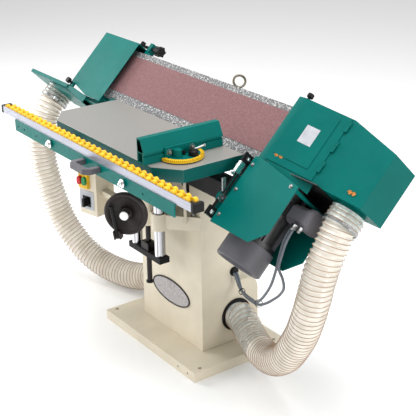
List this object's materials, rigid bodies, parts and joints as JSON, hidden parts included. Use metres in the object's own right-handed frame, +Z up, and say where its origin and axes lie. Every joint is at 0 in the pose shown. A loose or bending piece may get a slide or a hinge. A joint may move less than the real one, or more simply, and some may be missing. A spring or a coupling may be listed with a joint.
{
  "type": "oscillating edge sander",
  "caption": "Pedestal edge sander: oscillating abrasive belt on a tilting head, height-adjustable table with mitre gauge and roller rail, two dust hoses.",
  "frame": {"origin": "on the floor, at the centre of the four anchor holes in the base", "axes": "+X along the sanding belt towards the motor, +Y from the operator to the back, +Z up"},
  "size_m": [1.819, 0.7191, 1.0044],
  "materials": {
    "cream_paint": "smooth semi-gloss cream enamel",
    "green_paint": "semi-gloss dark green enamel",
    "teal_paint": "semi-gloss teal enamel",
    "pale_green_paint": "satin pale green enamel",
    "black_paint": "satin black enamel",
    "graphite_paint": "satin dark grey enamel",
    "badge_plate": "blank satin plate",
    "ground_iron": "ground and oiled grey iron",
    "chromed_steel": "polished chrome",
    "zinc_steel": "bright zinc plate",
    "dark_steel": "oiled black steel",
    "rail_aluminium": "anodised extrusion",
    "yellow_plastic": "moulded",
    "black_plastic": "moulded phenolic",
    "switch_yellow": "moulded",
    "green_button": "moulded",
    "red_button": "moulded",
    "wheel_iron": "dark enamelled iron",
    "abrasive_cloth": "resin-bonded aluminium oxide grit",
    "graphite_cloth": "graphite-coated canvas",
    "drum_metal": "turned",
    "motor_paint": "black enamelled casting",
    "hose_plastic": "clear ribbed polyurethane",
    "cable_jacket": "grey cable jacket"
  },
  "bodies": {
    "stand": {"base_plate": "cream_paint", "pedestal": "cream_paint", "rear_cover": "cream_paint", "badge": "badge_plate", "dust_manifold": "graphite_paint", "hose_flanges": "black_plastic", "cable_grommet": "black_plastic", "trunnion_beam": "black_paint", "control_box": "cream_paint", "switch_body": "switch_yellow", "lift_bracket": "cream_paint", "stand_fasteners": "zinc_steel", "dust_hose_left": "hose_plastic", "dust_hose_right": "hose_plastic", "power_cable": "cable_jacket", "brake_cable": "cable_jacket"},
    "start_button": {"start_button": "green_button"},
    "stop_button": {"stop_button": "red_button"},
    "selector_knob": {"selector_knob": "black_plastic"},
    "handwheel": {"handwheel": "wheel_iron", "handwheel_shaft": "zinc_steel"},
    "crank_handle": {"crank_handle": "black_plastic"},
    "lead_screw": {"lead_screw": "dark_steel"},
    "table": {"table_top": "ground_iron", "guide_posts": "chromed_steel", "lift_crossbar": "black_paint", "lead_nut": "dark_steel", "rail_guides": "green_paint", "height_rod": "cream_paint", "gauge_base": "dark_steel"},
    "rail_lock": {"rail_lock_knob": "black_plastic"},
    "gauge": {"gauge_head": "green_paint", "gauge_fence": "green_paint"},
    "gauge_lever": {"gauge_lever": "black_plastic"},
    "rail": {"rail_channel": "rail_aluminium", "rail_rollers": "yellow_plastic", "rail_end_caps": "black_plastic", "rail_flange": "pale_green_paint", "pull_handle": "graphite_paint", "rail_slide_bars": "chromed_steel"},
    "head": {"head_frame": "green_paint", "platen": "ground_iron", "platen_cloth": "graphite_cloth", "idler_cover": "teal_paint", "end_table": "green_paint", "drive_housing": "green_paint", "motor_body": "motor_paint", "motor_cowl": "graphite_paint", "terminal_box": "graphite_paint", "motor_guards": "teal_paint", "head_fasteners": "zinc_steel", "rear_guard": "green_paint"},
    "belt": {"sanding_belt": "abrasive_cloth"},
    "drive_drum": {"drive_drum": "drum_metal"},
    "idler_carriage": {"idler_carriage": "graphite_paint"},
    "idler_drum": {"idler_drum": "drum_metal"},
    "tension_knob": {"tension_knob": "black_plastic"},
    "tracking_knob": {"tracking_knob": "black_plastic"},
    "housing_door": {"housing_door": "green_paint"},
    "tilt_lever": {"tilt_lever": "zinc_steel"}
  },
  "joints": [
    {"name": "table_lift", "type": "slide", "parent": "stand", "child": "table", "axis": [0, 0, 1], "range_m": [-0.03, 0.06]},
    {"name": "lead_screw_spin", "type": "hinge", "parent": "stand", "child": "lead_screw", "pos_m": [0, -0.18, 0.4], "axis": [0, 0, 1], "range_deg": [-2167.2, 4327.2]},
    {"name": "handwheel_spin", "type": "hinge", "parent": "stand", "child": "handwheel", "pos_m": [0.14463, -0.35236, 0.616], "axis": [0.6428, -0.766, 0], "range_deg": [-2167.2, 4327.2]},
    {"name": "crank_fold", "type": "hinge", "parent": "handwheel", "child": "crank_handle", "pos_m": [0.13491, -0.38009, 0.54046], "axis": [0.7544, 0.633, 0.1736], "range_deg": [0, 90]},
    {"name": "start_press", "type": "slide", "parent": "stand", "child": "start_button", "axis": [-0.2419, 0.9703, 0], "range_m": [0, 0.0015], "stiffness_N_per_m": 600},
    {"name": "stop_press", "type": "slide", "parent": "stand", "child": "stop_button", "axis": [-0.2419, 0.9703, 0], "range_m": [0, 0.0015], "stiffness_N_per_m": 600},
    {"name": "selector_turn", "type": "hinge", "parent": "stand", "child": "selector_knob", "pos_m": [-0.32673, -0.23497, 0.476], "axis": [0.2419, -0.9703, 0], "range_deg": [-45, 45]},
    {"name": "rail_extend", "type": "slide", "parent": "table", "child": "rail", "axis": [0, -1, 0], "range_m": [0, 0.09]},
    {"name": "rail_lock_turn", "type": "hinge", "parent": "table", "child": "rail_lock", "pos_m": [0.25, -0.285, 0.72], "axis": [0, 0, -1], "range_deg": [-90, 90]},
    {"name": "gauge_swing", "type": "hinge", "parent": "table", "child": "gauge", "pos_m": [0.291, -0.224, 0.82], "axis": [0, 0, 1], "range_deg": [-30, 30]},
    {"name": "gauge_lock_turn", "type": "hinge", "parent": "gauge", "child": "gauge_lever", "pos_m": [0.315, -0.204, 0.84], "axis": [0, 0, 1], "range_deg": [-40, 40]},
    {"name": "head_tilt", "type": "hinge", "parent": "stand", "child": "head", "pos_m": [0, -0.055, 0.793], "axis": [1, 0, 0], "range_deg": [-45, 45], "deforming": ["dust_hose_left", "dust_hose_right", "power_cable", "brake_cable"]},
    {"name": "belt_oscillation", "type": "slide", "parent": "head", "child": "belt", "axis": [0, 0.7071, 0.7071], "range_m": [-0.006, 0.006]},
    {"name": "drive_drum_spin", "type": "hinge", "parent": "belt", "child": "drive_drum", "pos_m": [0.532, 0.08819, 0.828], "axis": [0, 0.7071, 0.7071], "continuous": true},
    {"name": "idler_tension", "type": "slide", "parent": "belt", "child": "idler_carriage", "axis": [1, 0, 0], "range_m": [0, 0.012]},
    {"name": "idler_drum_spin", "type": "hinge", "parent": "idler_carriage", "child": "idler_drum", "pos_m": [-0.6, 0.08819, 0.828], "axis": [0, 0.7071, 0.7071], "continuous": true},
    {"name": "tension_turn", "type": "hinge", "parent": "head", "child": "tension_knob", "pos_m": [-0.4, 0.13309, 0.96412], "axis": [1, 0, 0], "range_deg": [-180, 180]},
    {"name": "tracking_turn", "type": "hinge", "parent": "head", "child": "tracking_knob", "pos_m": [-0.462, 0.11612, 0.97543], "axis": [0, 0.7071, 0.7071], "range_deg": [-180, 180]},
    {"name": "door_swing", "type": "hinge", "parent": "head", "child": "housing_door", "pos_m": [0.65901, 0.05243, 0.88356], "axis": [0, 0.7071, 0.7071], "range_deg": [0, 110]},
    {"name": "tilt_lock_turn", "type": "hinge", "parent": "head", "child": "tilt_lever", "pos_m": [0.42, -0.16743, 0.70885], "axis": [1, 0, 0], "range_deg": [-30, 30]}
  ],
  "couplings": [
    {"joint": "lead_screw_spin", "follows": "table_lift", "rad_per_m": 1256.6},
    {"joint": "handwheel_spin", "follows": "table_lift", "rad_per_m": 1256.6},
    {"joint": "idler_drum_spin", "follows": "drive_drum_spin", "ratio": 1}
  ]
}
